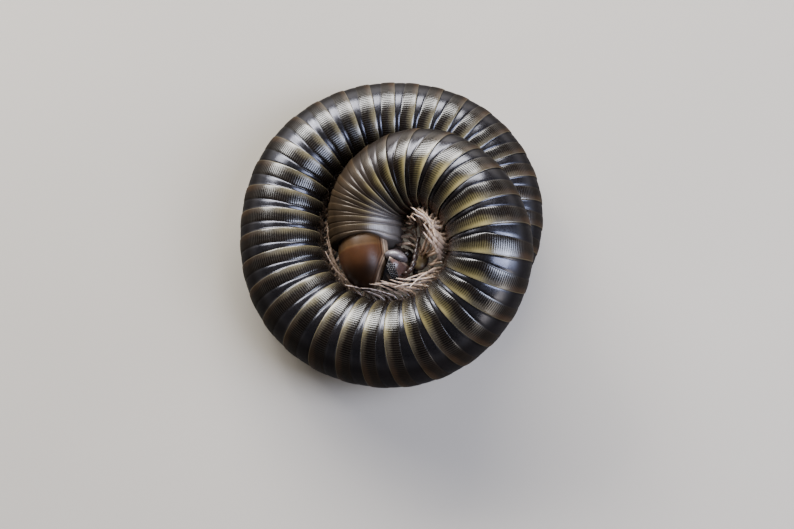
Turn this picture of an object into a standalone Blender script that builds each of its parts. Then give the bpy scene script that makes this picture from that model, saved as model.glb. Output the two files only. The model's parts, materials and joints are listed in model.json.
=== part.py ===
"""
A julid millipede rolled up in its defensive coil, life size, as a still museum model.

The body is a jointed tube, about 48 mm long and 4 mm thick. It winds clockwise, seen from
above, from the head in the middle out to the tail, for about two and a quarter turns. Its back faces
outwards and its belly and legs face inwards. The outer turn lies on the floor. The turn inside it
climbs over the tail on the right, and carries the head end back to the middle.

The frame is in metres with +Z up. The origin is on the floor under the middle of the coil, and
+Y points away from the side on which the animal is viewed. Sizes below are in millimetres, and
angles in degrees. All meshes are made in millimetres and scaled to metres when they are finished.

Three directions belong to each place on the body: along, from head to tail, back, from the axis
out through the animal's back, and left, from the axis out through its left flank, which faces up.
"""

import math
import random

import bmesh
import bpy
import numpy as np
from mathutils import Matrix, Vector

MM = 0.001

# Coil of the body's axis: turn angle clockwise from +X, radius and height
COIL_STATIONS = (
    (122.5, 2.18, 3.74),
    (140.0, 1.73, 3.63),
    (158.0, 1.50, 3.60),
    (178.0, 1.39, 3.62),
    (200.0, 1.41, 3.70),
    (222.0, 1.52, 3.85),
    (244.0, 1.72, 4.10),
    (266.0, 1.99, 4.43),
    (290.0, 2.40, 4.87),
    (314.0, 2.82, 5.32),
    (338.0, 3.27, 5.68),
    (362.0, 3.95, 5.91),
    (386.0, 4.80, 5.82),
    (410.0, 5.35, 5.01),
    (436.0, 5.56, 3.79),
    (466.0, 5.43, 2.73),
    (500.0, 5.29, 2.12),
    (540.0, 5.06, 1.92),
    (585.0, 5.29, 1.92),
    (630.0, 5.35, 1.88),
    (672.0, 5.46, 1.86),
    (708.0, 5.19, 1.80),
    (738.0, 4.88, 1.51),
    (762.2, 4.65, 1.09),
)
COIL_CENTRE = (0.07, 0.14)
COIL_SAMPLES = 4000

# Tube: its radius by distance along the axis, the taper of the tail, and the flatter belly
TUBE_STATIONS = (
    (0.0, 1.40),
    (1.0, 1.50),
    (2.2, 1.66),
    (6.0, 1.84),
    (11.0, 2.00),
    (18.0, 2.03),
    (24.0, 2.02),
    (30.0, 1.97),
    (40.0, 1.92),
    (50.0, 1.90),
)
TAIL_TAPER_LENGTH = 6.5
TAIL_TAPER = 0.42
TAIL_TAPER_POWER = 2.2
BELLY_FLAT_FROM = 0.82
BELLY_FLATNESS = 0.55

# Rings, counted from the collum, which is ring 1: where ring fronts lie along the axis. The last
# one is the front of the telson
RING_STATIONS = (
    (2, 1.00),
    (4, 2.00),
    (7, 3.32),
    (10, 5.20),
    (13, 8.00),
    (16, 11.00),
    (20, 14.95),
    (24, 19.30),
    (28, 23.75),
    (32, 27.72),
    (38, 33.50),
    (45, 39.80),
    (52, 46.00),
)
FIRST_RING, LAST_RING = 2, 51
RINGS_IN_A_LENGTH = 4
FORE_PART_SHARE = 0.38
STEP_SHARE = 0.08
FORE_RADIUS, FORE_END_RADIUS, HIND_RADIUS = 0.935, 0.955, 0.985
TUBE_SIDES = 18
NODE_GAP = 0.25

# Legs: one pair stands for a ring's two. They are folded tailwards along the belly
LAST_LEG_RING = 49
CROWDED_RINGS_UNTIL = 13
LEG_SIDES = 5
LEG_ROOT_RADIUS, LEG_TIP_RADIUS = 0.20, 0.08
LEG_SINK = 0.42
LEG_SIZES_FOR = 1.95
LEG_SIDE_AT_ROOT, LEG_SIDE_AT_KNEE, LEG_SIDE_AT_TIP = 0.26, 0.50, 0.72
LEG_REACH = 1.05
LEG_KNEE_OUT, LEG_TIP_OUT = 0.06, 0.02
FREE_LEG_KNEE_OUT, FREE_LEG_TIP_OUT = 0.34, 0.52
FREE_LEGS_UNTIL, PRESSED_LEGS_FROM = 17, 23
LEG_VARIATION = 0.08

# Collum: a dome over the neck, cut off along its front margin. Places are from the neck's middle
COLLUM_MIDDLE_FORWARD = 0.50
COLLUM_HALF_LENGTH, COLLUM_HALF_DEPTH, COLLUM_HALF_WIDTH = 1.80, 1.20, 1.40
COLLUM_CORNER = (1.06, -1.06)
COLLUM_MARGIN_SLANT = 62.0
COLLUM_SEGMENTS, COLLUM_BANDS = 22, 14

# Head: its middle, forward and backwards of the neck's middle, and how far its face is bent down
HEAD_MIDDLE = (1.44, -1.12)
HEAD_FLEXION = 66.0
HEAD_HALF_LENGTH, HEAD_HALF_HEIGHT, HEAD_HALF_WIDTH = 0.86, 1.00, 1.26
HEAD_GAP = 0.22
CHEEK_MIDDLE = (0.12, -0.50, 0.72)
CHEEK_SIZE = (0.52, 0.44, 0.46)
LIP_MIDDLE = (0.52, -0.72, 0.0)
LIP_SIZE = (0.26, 0.34, 0.62)
MOUTH_NOTCH = (0.80, -1.02, 0.0)
MOUTH_NOTCH_RADIUS = 0.14
EYE_MIDDLE = (0.20, 0.46, 1.03)
EYE_SIZE = (0.22, 0.42, 0.17)
EYE_GAP = 0.10

# Antenna: a chain of articles from its socket in front of the eye, then down past the mouth
ANTENNA_PATH = (
    (0.58, 0.33, 0.82),
    (0.88, 0.24, 1.00),
    (0.98, -0.18, 1.02),
    (0.94, -0.70, 0.97),
    (0.88, -1.20, 0.87),
    (0.84, -1.55, 0.76),
)
ANTENNA_ARTICLES = 7
ANTENNA_ROOT_RADIUS, ANTENNA_CLUB_RADIUS, ANTENNA_NOTCH_RADIUS = 0.15, 0.19, 0.11
ANTENNA_SIDES = 8
SOCKET_RADIUS = 0.25

# Telson: the ring before the anal valves, the valves' dome and the point above them
TELSON_LENGTH = 1.25
TELSON_PROFILE = ((0.0, 0.94), (0.42, 0.97), (0.50, 0.88), (0.78, 0.76), (0.93, 0.48))
TAIL_POINT_FROM, TAIL_POINT_TO = (0.35, 0.62), (1.40, 0.90)
TAIL_POINT_ROOT_RADIUS, TAIL_POINT_TIP_RADIUS = 0.32, 0.06

# Finishing: merge distance, and the shade's sharp angle
WELD = 0.002
SHARP_ANGLE = 38.0

COLOURS = {
    "body": ((0.030, 0.024, 0.020), 0.25),
    "collum": ((0.105, 0.050, 0.022), 0.22),
    "head": ((0.080, 0.045, 0.028), 0.28),
    "eye": ((0.004, 0.004, 0.004), 0.20),
    "antenna": ((0.220, 0.130, 0.095), 0.35),
}


def smoothstep(value):
    """Rises from 0 to 1 as value does, level at both ends."""
    value = min(max(value, 0.0), 1.0)
    return value * value * (3.0 - 2.0 * value)


def through(stations, at):
    """The smooth curve through the stations, read at a value of their first column."""
    table = np.array(stations)
    knots = table[:, 0]
    slopes = np.gradient(table, knots, axis=0)
    i = int(np.clip(np.searchsorted(knots, at) - 1, 0, len(knots) - 2))
    span = knots[i + 1] - knots[i]
    t = (at - knots[i]) / span
    return (
        (2 * t**3 - 3 * t**2 + 1) * table[i]
        + (t**3 - 2 * t**2 + t) * span * slopes[i]
        + (3 * t**2 - 2 * t**3) * table[i + 1]
        + (t**3 - t**2) * span * slopes[i + 1]
    )


def coil_axis():
    """Evenly numbered samples of the axis: distance from its front end, place and tangent."""
    points = []
    for angle in np.linspace(COIL_STATIONS[0][0], COIL_STATIONS[-1][0], COIL_SAMPLES):
        _, radius, height = through(COIL_STATIONS, angle)
        turn = math.radians(angle)
        x = COIL_CENTRE[0] + radius * math.cos(turn)
        y = COIL_CENTRE[1] - radius * math.sin(turn)
        points.append((x, y, height))
    points = np.array(points)
    steps = np.linalg.norm(np.diff(points, axis=0), axis=1)
    lengths = np.concatenate([[0.0], np.cumsum(steps)])
    tangents = np.gradient(points, lengths, axis=0)
    return lengths, points, tangents


AXIS_LENGTHS, AXIS_POINTS, AXIS_TANGENTS = coil_axis()


def frame_at(along):
    """Middle of the body at a distance along it, with its along, back and left directions."""
    middle = Vector([np.interp(along, AXIS_LENGTHS, AXIS_POINTS[:, i]) for i in range(3)])
    tangent = Vector([np.interp(along, AXIS_LENGTHS, AXIS_TANGENTS[:, i]) for i in range(3)])
    tangent.normalize()
    middle += max(0.0, along - float(AXIS_LENGTHS[-1])) * tangent
    back = Vector((0.0, 0.0, 1.0)).cross(tangent).normalized()
    return middle, tangent, back, tangent.cross(back)


def on_body(along, back, left):
    """A point given by its distance along the body and its offsets from the axis."""
    middle, _, back_way, left_way = frame_at(along)
    return middle + back * back_way + left * left_way


def body_radius(along):
    """Radius of the tube, which is thin at the neck and tapers at the tail."""
    radius = float(through(TUBE_STATIONS, along)[1])
    tail = max(0.0, along - (TAIL_END - TAIL_TAPER_LENGTH)) / TAIL_TAPER_LENGTH
    return radius * (1.0 - TAIL_TAPER * min(tail, 1.0) ** TAIL_TAPER_POWER)


def ring_front(ring):
    """Where a ring starts along the axis: rings are short at the neck, longest in the middle."""
    return float(through(RING_STATIONS, ring)[1])


def ring_pitch(ring):
    """Length of a ring along the axis."""
    return ring_front(ring + 1) - ring_front(ring)


TAIL_END = ring_front(LAST_RING + 1) + TELSON_LENGTH


def turned(profile, sides):
    """A closed turned shape round +X from (along, radius) points, its end poles closed."""
    bm = bmesh.new()
    ends = [(profile[0][0], 0.0), *profile, (profile[-1][0], 0.0)]
    verts = [bm.verts.new((along, 0.0, radius)) for along, radius in ends]
    edges = [bm.edges.new(pair) for pair in zip(verts, verts[1:])]
    bmesh.ops.spin(
        bm,
        geom=verts + edges,
        cent=(0.0, 0.0, 0.0),
        axis=(1.0, 0.0, 0.0),
        angle=2 * math.pi,
        steps=sides,
        use_merge=True,
    )
    bmesh.ops.remove_doubles(bm, verts=bm.verts, dist=WELD)
    face_outwards(bm)
    return bm


def face_outwards(bm):
    """Turns the faces of one closed surface outwards."""
    bmesh.ops.recalc_face_normals(bm, faces=bm.faces)
    if bm.calc_volume(signed=True) < 0.0:
        bmesh.ops.reverse_faces(bm, faces=bm.faces)


def bend(bm, place):
    """Moves each vertex to where place puts its coordinates, and turns the faces outwards."""
    for vert in bm.verts:
        vert.co = place(*vert.co)
    face_outwards(bm)


def put(bm, matrix):
    """Moves a closed surface by a matrix, which may mirror it."""
    bmesh.ops.transform(bm, matrix=matrix, verts=bm.verts)
    face_outwards(bm)


def ball(size, segments, bands):
    """An ellipsoid about the origin with the given half sizes."""
    bm = bmesh.new()
    bmesh.ops.create_uvsphere(bm, u_segments=segments, v_segments=bands, radius=1.0)
    bmesh.ops.scale(bm, vec=size, verts=bm.verts)
    return bm


def cut_away(bm, point, outwards):
    """Removes what lies beyond a plane and closes the cut."""
    geom = bm.verts[:] + bm.edges[:] + bm.faces[:]
    bmesh.ops.bisect_plane(bm, geom=geom, plane_co=point, plane_no=outwards, clear_outer=True)
    rim = [edge for edge in bm.edges if edge.is_boundary]
    bmesh.ops.holes_fill(bm, edges=rim, sides=0)


def new_object(name, bm, collection):
    """An object in millimetres from a bmesh, which is freed."""
    mesh = bpy.data.meshes.new(name)
    bm.to_mesh(mesh)
    bm.free()
    thing = bpy.data.objects.new(name, mesh)
    collection.objects.link(thing)
    return thing


def fuse(thing, others, operation="UNION"):
    """Joins other closed bodies to an object, or cuts them out of it, and removes them."""
    tools = bpy.data.collections.new("tools")
    bpy.context.scene.collection.children.link(tools)
    for i, bm in enumerate(others):
        new_object(f"tool_{i}", bm, tools)
    joined = thing.modifiers.new("fuse", "BOOLEAN")
    joined.operation = operation
    joined.operand_type = "COLLECTION"
    joined.collection = tools
    joined.solver = "EXACT"
    bpy.context.view_layer.update()
    evaluated = thing.evaluated_get(bpy.context.evaluated_depsgraph_get())
    mesh = bpy.data.meshes.new_from_object(evaluated)
    thing.modifiers.clear()
    thing.data = mesh
    for tool in list(tools.objects):
        bpy.data.objects.remove(tool)
    bpy.data.collections.remove(tools)


def largest_surface(bm):
    """Keeps only the connected surface with the most faces."""
    left = set(bm.faces)
    best = set()
    while left:
        start = left.pop()
        found, edge_of_found = {start}, [start]
        while edge_of_found:
            face = edge_of_found.pop()
            for edge in face.edges:
                for other in edge.link_faces:
                    if other in left:
                        left.remove(other)
                        found.add(other)
                        edge_of_found.append(other)
        if len(found) > len(best):
            best = found
    bmesh.ops.delete(bm, geom=[face for face in bm.faces if face not in best], context="FACES")


def finish(thing, material):
    """Cleans the mesh, lays what dips below the floor flat on it and scales it to metres."""
    bm = bmesh.new()
    bm.from_mesh(thing.data)
    bmesh.ops.triangulate(bm, faces=bm.faces)
    bmesh.ops.remove_doubles(bm, verts=bm.verts, dist=WELD)
    bmesh.ops.dissolve_degenerate(bm, edges=bm.edges, dist=WELD)
    bmesh.ops.triangulate(bm, faces=bm.faces)
    largest_surface(bm)
    for vert in bm.verts:
        vert.co.z = max(vert.co.z, 0.0)
    bmesh.ops.scale(bm, vec=(MM, MM, MM), verts=bm.verts)
    bm.to_mesh(thing.data)
    bm.free()
    thing.data.materials.clear()
    thing.data.materials.append(material)
    thing.data.shade_smooth()
    thing.data.set_sharp_from_angle(angle=math.radians(SHARP_ANGLE))


def new_material(name, colour, roughness):
    """A plain finish with the part's colour."""
    material = bpy.data.materials.new(name)
    material.use_nodes = True
    shader = material.node_tree.nodes["Principled BSDF"]
    shader.inputs["Base Color"].default_value = (*colour, 1.0)
    shader.inputs["Roughness"].default_value = roughness
    shader.inputs["Metallic"].default_value = 0.0
    return material


def flattened(along, back, left):
    """A point of the round tube, with the belly pressed flatter."""
    radius = body_radius(along)
    belly = -BELLY_FLAT_FROM * radius
    if back < belly:
        back = belly + (back - belly) * BELLY_FLATNESS
    return on_body(along, back, left)


def belly_depth(along):
    """How far the belly lies below the axis."""
    radius = body_radius(along)
    return radius * (BELLY_FLAT_FROM + (1.0 - BELLY_FLAT_FROM) * BELLY_FLATNESS)


def tube_rows(first, last):
    """The stepped profile of a run of rings: a narrow fore part and a wider hind part each."""
    rows = []
    for ring in range(first, last + 1):
        front, pitch = ring_front(ring), ring_pitch(ring)
        start = front + (NODE_GAP if ring == first else 0.0)
        step_from = front + pitch * max(FORE_PART_SHARE, (NODE_GAP + 0.05) / pitch)
        rows.append((start, FORE_RADIUS * body_radius(start)))
        rows.append((step_from, FORE_END_RADIUS * body_radius(step_from)))
        step_to = step_from + pitch * STEP_SHARE
        rows.append((step_to, HIND_RADIUS * body_radius(step_to)))
        rows.append((front + pitch, body_radius(front + pitch)))
    return rows


def leg(ring, side, chance):
    """One folded leg, from inside the belly out to its tip, as a tapering turned rod."""
    at = ring_front(ring) + 0.6 * ring_pitch(ring)
    belly = belly_depth(at)
    pressed = smoothstep((ring - FREE_LEGS_UNTIL) / (PRESSED_LEGS_FROM - FREE_LEGS_UNTIL))
    knee_out = FREE_LEG_KNEE_OUT + (LEG_KNEE_OUT - FREE_LEG_KNEE_OUT) * pressed
    tip_out = FREE_LEG_TIP_OUT + (LEG_TIP_OUT - FREE_LEG_TIP_OUT) * pressed
    size = body_radius(at) / LEG_SIZES_FOR
    reach = LEG_REACH * size * (1.0 + LEG_VARIATION * chance.uniform(-1.0, 1.0))
    root = Vector((0.0, LEG_SINK - belly, side * LEG_SIDE_AT_ROOT * size))
    knee = Vector((0.15 * reach, -belly - knee_out, side * LEG_SIDE_AT_KNEE * size))
    tip = Vector((reach, -belly - tip_out, side * LEG_SIDE_AT_TIP * size))
    bm = turned(
        (
            (0.0, LEG_ROOT_RADIUS * size),
            (0.45, LEG_ROOT_RADIUS * size),
            (0.75, 0.75 * LEG_ROOT_RADIUS * size),
            (1.0, LEG_TIP_RADIUS * size),
        ),
        LEG_SIDES,
    )

    def place(share, across, up):
        """Lays the rod along root, knee and tip, then on the body."""
        point = (1 - share) ** 2 * root + 2 * share * (1 - share) * knee + share**2 * tip
        way = (2 * (1 - share) * (knee - root) + 2 * share * (tip - knee)).normalized()
        sideways = way.cross(Vector((0.0, 1.0, 0.0))).normalized()
        point = point + across * sideways + up * sideways.cross(way)
        return on_body(at + point.x, point.y, point.z)

    bend(bm, place)
    return bm


def has_legs(ring):
    """Legs grow on each ring, and on every other one where the belly side is crowded."""
    if ring > LAST_LEG_RING or ring < 4:
        return False
    return ring > CROWDED_RINGS_UNTIL or ring % 2 == 0


def body_length(first, last, collection, material, chance):
    """A run of rings bent onto the coil, with its legs fused on."""
    bm = turned(tube_rows(first, last), TUBE_SIDES)
    bend(bm, lambda along, left, back: flattened(along, back, left))
    thing = new_object(f"rings_{first:02d}_{last:02d}", bm, collection)
    legs = [leg(ring, side, chance) for ring in range(first, last + 1) if has_legs(ring) for side in (1, -1)]
    if legs:
        fuse(thing, legs)
    finish(thing, material)


def telson(collection, material):
    """The last piece: its ring, the dome of the anal valves and the point above them."""
    start = ring_front(LAST_RING + 1)
    radius = body_radius(start)
    rows = [(start + NODE_GAP, TELSON_PROFILE[0][1] * radius)]
    rows += [(start + share * TELSON_LENGTH, size * radius) for share, size in TELSON_PROFILE[1:]]
    bm = turned(rows, TUBE_SIDES)
    bend(bm, lambda along, left, back: on_body(along, back, left))
    thing = new_object("telson", bm, collection)
    ends = (TAIL_POINT_FROM, TAIL_POINT_TO)
    root, tip = (on_body(start + share * TELSON_LENGTH, size * radius, 0.0) for share, size in ends)
    length = (tip - root).length
    point = turned(((0.0, TAIL_POINT_ROOT_RADIUS), (length, TAIL_POINT_TIP_RADIUS)), ANTENNA_SIDES)
    turn = (tip - root).to_track_quat("X", "Z").to_matrix().to_4x4()
    put(point, Matrix.Translation(root) @ turn)
    fuse(thing, [point])
    finish(thing, material)


def neck_frame():
    """Matrix from (forward, back, left) at the front end of the rings to the coil's frame."""
    middle, along, back, left = frame_at(ring_front(FIRST_RING))
    axes = Matrix((-along, back, left)).transposed()
    return Matrix.Translation(middle) @ axes.to_4x4()


def head_frame():
    """Matrix from (face, vertex, left) at the head's middle to the coil's frame."""
    bent = math.radians(HEAD_FLEXION)
    face = Vector((math.cos(bent), -math.sin(bent), 0.0))
    vertex = Vector((math.sin(bent), math.cos(bent), 0.0))
    axes = Matrix((face, vertex, Vector((0.0, 0.0, 1.0)))).transposed()
    return neck_frame() @ Matrix.Translation((*HEAD_MIDDLE, 0.0)) @ axes.to_4x4()


def margin_planes(gap):
    """The collum's front margin as two planes, moved forward by a gap."""
    slant = math.radians(COLLUM_MARGIN_SLANT)
    planes = []
    for outwards in (Vector((0.0, -1.0, 0.0)), Vector((math.cos(slant), -math.sin(slant), 0.0))):
        planes.append((Vector((*COLLUM_CORNER, 0.0)) + gap * outwards, outwards))
    return planes


def collum(collection, material):
    """The first ring's plate, a dome over the neck that is cut off along its front margin."""
    bm = ball((COLLUM_HALF_LENGTH, COLLUM_HALF_DEPTH, COLLUM_HALF_WIDTH), COLLUM_SEGMENTS, COLLUM_BANDS)
    bmesh.ops.translate(bm, vec=(COLLUM_MIDDLE_FORWARD, 0.0, 0.0), verts=bm.verts)
    cut_away(bm, Vector((0.0, 0.0, 0.0)), Vector((-1.0, 0.0, 0.0)))
    for point, outwards in margin_planes(0.0):
        cut_away(bm, point, outwards)
    put(bm, neck_frame())
    thing = new_object("collum", bm, collection)
    finish(thing, material)


def both_sides(middle):
    """A place on the head and its mirror image."""
    return [Vector((middle[0], middle[1], side * middle[2])) for side in (1, -1)]


def head(collection, material):
    """The head capsule with its cheek plates and lip, cut clear of the collum, eyes and antennae."""
    to_coil = head_frame()
    bm = ball((HEAD_HALF_LENGTH, HEAD_HALF_HEIGHT, HEAD_HALF_WIDTH), 20, 12)
    put(bm, to_coil)
    thing = new_object("head", bm, collection)
    lobes = []
    for middle, size in ((CHEEK_MIDDLE, CHEEK_SIZE), (LIP_MIDDLE, LIP_SIZE)):
        places = both_sides(middle) if middle[2] else [Vector(middle)]
        for place in places:
            lobe = ball(size, 12, 8)
            put(lobe, to_coil @ Matrix.Translation(place))
            lobes.append(lobe)
    fuse(thing, lobes)
    hollows = []
    for place in both_sides(EYE_MIDDLE):
        hollow = ball([half + EYE_GAP for half in EYE_SIZE], 14, 8)
        put(hollow, to_coil @ Matrix.Translation(place))
        hollows.append(hollow)
    for place in both_sides(ANTENNA_PATH[0]):
        hollow = ball((SOCKET_RADIUS,) * 3, 10, 6)
        put(hollow, to_coil @ Matrix.Translation(place))
        hollows.append(hollow)
    notch = ball((MOUTH_NOTCH_RADIUS,) * 3, 10, 6)
    put(notch, to_coil @ Matrix.Translation(MOUTH_NOTCH))
    hollows.append(notch)
    fuse(thing, hollows, "DIFFERENCE")
    bm = bmesh.new()
    bm.from_mesh(thing.data)
    put(bm, neck_frame().inverted())
    for point, outwards in margin_planes(HEAD_GAP):
        if outwards.x > 0.1:
            cut_away(bm, point, -outwards)
    put(bm, neck_frame())
    bm.to_mesh(thing.data)
    bm.free()
    finish(thing, material)


def eye(name, place, collection, material):
    """An eye patch: a low dome seated in its hollow on the side of the head."""
    bm = ball(EYE_SIZE, 14, 8)
    put(bm, head_frame() @ Matrix.Translation(place))
    finish(new_object(name, bm, collection), material)


def antenna(name, side, collection, material):
    """A bead-like chain of articles that swells to a club, bent along its path."""
    to_coil = head_frame()
    path = np.array(ANTENNA_PATH)
    steps = np.linalg.norm(np.diff(path, axis=0), axis=1)
    lengths = np.concatenate([[0.0], np.cumsum(steps)])
    stations = np.column_stack([lengths, path])
    total = lengths[-1]
    rows = []
    for article in range(ANTENNA_ARTICLES):
        swell = math.sin(math.pi * min((article + 1.0) / ANTENNA_ARTICLES, 0.95))
        wide = ANTENNA_ROOT_RADIUS + (ANTENNA_CLUB_RADIUS - ANTENNA_ROOT_RADIUS) * swell
        start = total * article / ANTENNA_ARTICLES
        end = total * (article + 1) / ANTENNA_ARTICLES
        rows.append((start + 0.02, ANTENNA_NOTCH_RADIUS))
        rows.append((start + 0.75 * (end - start), wide))
    rows.append((total, 0.45 * ANTENNA_NOTCH_RADIUS))
    bm = turned(rows, ANTENNA_SIDES)

    def place(along, across, up):
        """Lays the chain along its path, on the given side of the head."""
        point = Vector(through(stations, along)[1:])
        way = (Vector(through(stations, min(along + 0.05, total + 0.05))[1:]) - point).normalized()
        sideways = way.cross(Vector((1.0, 0.0, 0.0))).normalized()
        point = point + across * sideways + up * sideways.cross(way)
        return to_coil @ Vector((point.x, point.y, side * point.z))

    bend(bm, place)
    finish(new_object(name, bm, collection), material)


def build():
    """Clears the scene and makes every part of the animal."""
    for thing in list(bpy.data.objects):
        bpy.data.objects.remove(thing)
    collection = bpy.data.collections.new("millipede")
    bpy.context.scene.collection.children.link(collection)
    materials = {name: new_material(name, *look) for name, look in COLOURS.items()}
    chance = random.Random(7)
    for first in range(FIRST_RING, LAST_RING + 1, RINGS_IN_A_LENGTH):
        last = min(first + RINGS_IN_A_LENGTH - 1, LAST_RING)
        body_length(first, last, collection, materials["body"], chance)
    telson(collection, materials["body"])
    collum(collection, materials["collum"])
    head(collection, materials["head"])
    for name, side in (("left", 1), ("right", -1)):
        place = both_sides(EYE_MIDDLE)[0 if side == 1 else 1]
        eye(f"eye_{name}", place, collection, materials["eye"])
        antenna(f"antenna_{name}", side, collection, materials["antenna"])


build()
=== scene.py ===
"""
Looks for a still, life-size museum model of a millipede rolled up in its coil.

Shells of rings, legs, head, eyes, antennae, collum and telson replace all its solids. Sizes of the
animal are in millimetres, and every mesh is scaled to metres when it is finished.

Three directions belong to each place on the body: along, from head to tail, back, from the axis
out through the animal's back, and left, from the axis out through its left flank, which faces up.
"""

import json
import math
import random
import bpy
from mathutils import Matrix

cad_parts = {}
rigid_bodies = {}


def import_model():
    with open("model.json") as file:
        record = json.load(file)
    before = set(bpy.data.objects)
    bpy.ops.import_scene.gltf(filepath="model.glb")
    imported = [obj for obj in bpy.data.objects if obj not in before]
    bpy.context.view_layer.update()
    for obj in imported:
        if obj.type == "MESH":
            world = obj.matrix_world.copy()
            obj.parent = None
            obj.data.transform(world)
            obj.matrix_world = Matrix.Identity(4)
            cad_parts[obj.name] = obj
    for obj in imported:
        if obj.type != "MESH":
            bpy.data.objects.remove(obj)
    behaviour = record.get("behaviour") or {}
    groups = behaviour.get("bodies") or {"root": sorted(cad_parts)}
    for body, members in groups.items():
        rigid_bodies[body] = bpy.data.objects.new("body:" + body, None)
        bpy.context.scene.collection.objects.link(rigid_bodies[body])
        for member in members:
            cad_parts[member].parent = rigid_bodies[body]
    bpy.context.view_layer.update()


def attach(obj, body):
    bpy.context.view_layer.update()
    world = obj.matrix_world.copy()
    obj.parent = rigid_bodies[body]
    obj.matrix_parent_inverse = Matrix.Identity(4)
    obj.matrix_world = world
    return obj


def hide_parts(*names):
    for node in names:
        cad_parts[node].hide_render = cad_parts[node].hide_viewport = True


bl_info = {
    "name": "Rolled-up millipede",
    "version": (1, 0, 0),
    "blender": (4, 5, 0),
    "location": "View3D > Sidebar > Millipede",
    "description": "Builds the rings, legs, head and stage of a rolled-up millipede",
    "category": "Object",
}

import bmesh
import bpy
import numpy as np
from bpy.props import FloatProperty, FloatVectorProperty, IntProperty, PointerProperty
from mathutils import Matrix, Vector

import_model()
MM = 0.001
SIDES = (("left", 1), ("right", -1))
WELD = 0.0005

# Coil of the body's axis, as in the part: turn angle clockwise from +X, radius and height
COIL_STATIONS = (
    (122.5, 2.18, 3.74), (140.0, 1.73, 3.63), (158.0, 1.50, 3.60), (178.0, 1.39, 3.62),
    (200.0, 1.41, 3.70), (222.0, 1.52, 3.85), (244.0, 1.72, 4.10), (266.0, 1.99, 4.43),
    (290.0, 2.40, 4.87), (314.0, 2.82, 5.32), (338.0, 3.27, 5.68), (362.0, 3.95, 5.91),
    (386.0, 4.80, 5.82), (410.0, 5.35, 5.01), (436.0, 5.56, 3.79), (466.0, 5.43, 2.73),
    (500.0, 5.29, 2.12), (540.0, 5.06, 1.92), (585.0, 5.29, 1.92), (630.0, 5.35, 1.88),
    (672.0, 5.46, 1.86), (708.0, 5.19, 1.80), (738.0, 4.88, 1.51), (762.2, 4.65, 1.09),
)
COIL_CENTRE = (0.07, 0.14)
COIL_SAMPLES = 4000
BEND_SMOOTHING = 0.9

# Tube, as in the part: its radius by distance along the axis, and the taper of the tail
TUBE_STATIONS = (
    (0.0, 1.40), (1.0, 1.50), (2.2, 1.66), (6.0, 1.84), (11.0, 2.00), (18.0, 2.03),
    (24.0, 2.02), (30.0, 1.97), (40.0, 1.92), (50.0, 1.90),
)
TAIL_TAPER_LENGTH, TAIL_TAPER, TAIL_TAPER_POWER = 6.5, 0.42, 2.2

# Where ring fronts lie along the axis, as in the part. The telson counts as one more ring
RING_STATIONS = (
    (2, 1.00), (4, 2.00), (7, 3.32), (10, 5.20), (13, 8.00), (16, 11.00), (20, 14.95),
    (24, 19.30), (28, 23.75), (32, 27.72), (38, 33.50), (45, 39.80), (52, 46.00),
)
FIRST_RING, LAST_RING, RINGS_IN_A_LENGTH = 2, 51, 4
TELSON_RING = LAST_RING + 1
TELSON_LENGTH = 1.25

# Cross-section: the belly is a little flat, and the front rings hang open below the head
BELLY_FLAT_FROM, BELLY_FLATNESS = 0.84, 0.65
LOBE_FORWARD = 0.42
FLANGE_DEPTH = 0.30
FLANGE_UNTIL = 7.5

# Ring profile: rows of the part of the ring, share of that part, skin offset and groove strength
TUCKED_OFFSET = -0.036
RING_ROWS = (
    ("fore", 0.20, -0.030, 0.0),
    ("fore", 0.45, -0.022, 0.0),
    ("fore", 0.72, -0.020, 0.0),
    ("fore", 0.94, -0.024, 0.0),
    ("hind", 0.0, -0.042, 0.0),
    ("hind", 0.03, -0.024, 0.5),
    ("hind", 0.08, -0.012, 0.8),
    ("hind", 0.20, -0.004, 1.0),
    ("hind", 0.35, 0.000, 1.0),
    ("hind", 0.50, 0.002, 1.0),
    ("hind", 0.64, 0.003, 1.0),
    ("hind", 0.78, 0.002, 0.7),
    ("hind", 0.89, 0.000, 0.2),
    ("hind", 0.96, -0.004, 0.0),
    ("hind", 1.0, -0.014, 0.0),
    ("hind", 0.985, -0.028, 0.0),
    ("tuck", 0.0, TUCKED_OFFSET, 0.0),
)
# The hind part's share of the pitch on the axis, its most anywhere, and how far the rim reaches under
HIND_SHARE, HIND_MOST, TUCK = 0.72, 0.76, 0.10
LEAST_STRETCH = 0.05
# Where a run of rings starts, as a share of the fore part, and how deep below the tucked skin
START_FIRST, START_UNDER, START_SINK = 0.06, -0.4, 0.012
# The belly, as a share of the way round from the back, and how much deeper its valleys are
BELLY_FROM, BELLY_BLEND, BELLY_VALLEYS = 0.5, 0.25, 2.6
STRIA_SHAPE = (1.0, 0.18, 0.0, 0.18)

# Legs: rows of share and width, and the path by share, angle from the belly and offset
FIRST_DOUBLE_RING, LAST_LEG_RING = 5, 49
SINGLE_PAIR, DOUBLE_PAIRS = (0.7,), (0.45, 0.9)
LEG_SIDES = 5
LEG_ROWS = (
    (0.0, 1.00), (0.10, 1.02), (0.14, 0.80), (0.22, 0.98), (0.36, 0.80), (0.40, 0.66),
    (0.55, 0.72), (0.60, 0.55), (0.74, 0.55), (0.78, 0.42), (0.92, 0.30), (1.0, 0.06),
)
LEG_PATH = (
    (0.0, 3.0, -0.12), (0.10, 6.0, 0.10), (0.35, 15.0, 0.20), (0.65, 27.0, 0.18),
    (1.0, 40.0, 0.06),
)
PATH_STEPS = 33
REACH_POWER, STAND_POWER = 1.15, 1.4
LEG_LEAST_STRETCH = 0.42
FULL_RADIUS = 1.95
LEG_SEED = 11
SPREAD_VARIES, LIFT_VARIES, SIZE_VARIES, STAND_VARIES = 0.22, 0.50, 0.10, 0.35
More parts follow.
